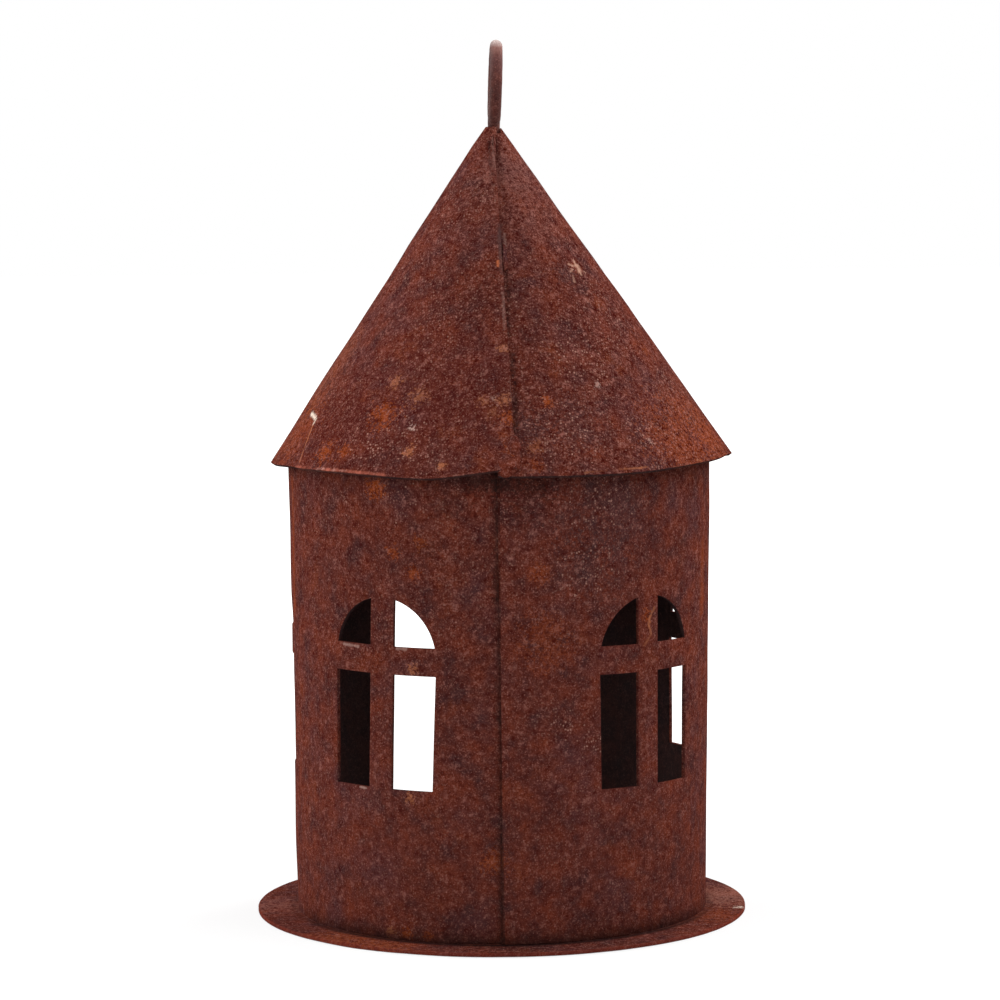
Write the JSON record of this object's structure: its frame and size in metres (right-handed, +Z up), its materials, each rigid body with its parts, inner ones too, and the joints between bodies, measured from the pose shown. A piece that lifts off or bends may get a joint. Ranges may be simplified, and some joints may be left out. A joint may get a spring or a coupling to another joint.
{
  "type": "hanging candle holder",
  "caption": "Hanging candle holder in rusted sheet steel: a round tower with arched windows and an open doorway on a plate, a cone roof and a wire eye to hang it by",
  "frame": {"origin": "middle of the underside of the base plate", "axes": "+Z up to the hanging eye, +Y out through the doorway, -Y out through the lapped seams, +X to the right of the seams as seen from outside"},
  "size_m": [0.12, 0.12, 0.2143],
  "materials": {
    "rusted_sheet": "rusted sheet steel, matt and pitted",
    "rusted_wire": "rusted round steel wire, dull",
    "rusted_weld": "rusted weld bead, matt"
  },
  "bodies": {
    "root": {"base_plate": "rusted_sheet", "tower_wall": "rusted_sheet", "base_weld_1": "rusted_weld", "base_weld_2": "rusted_weld", "base_weld_3": "rusted_weld", "base_weld_4": "rusted_weld", "wall_seam_weld_1": "rusted_weld", "wall_seam_weld_2": "rusted_weld", "wall_seam_weld_3": "rusted_weld", "roof_cone": "rusted_sheet", "roof_weld_1": "rusted_weld", "roof_weld_2": "rusted_weld", "roof_weld_3": "rusted_weld", "roof_weld_4": "rusted_weld", "roof_seam_weld_1": "rusted_weld", "roof_seam_weld_2": "rusted_weld", "hanging_loop": "rusted_wire", "loop_weld": "rusted_weld"}
  },
  "joints": []
}
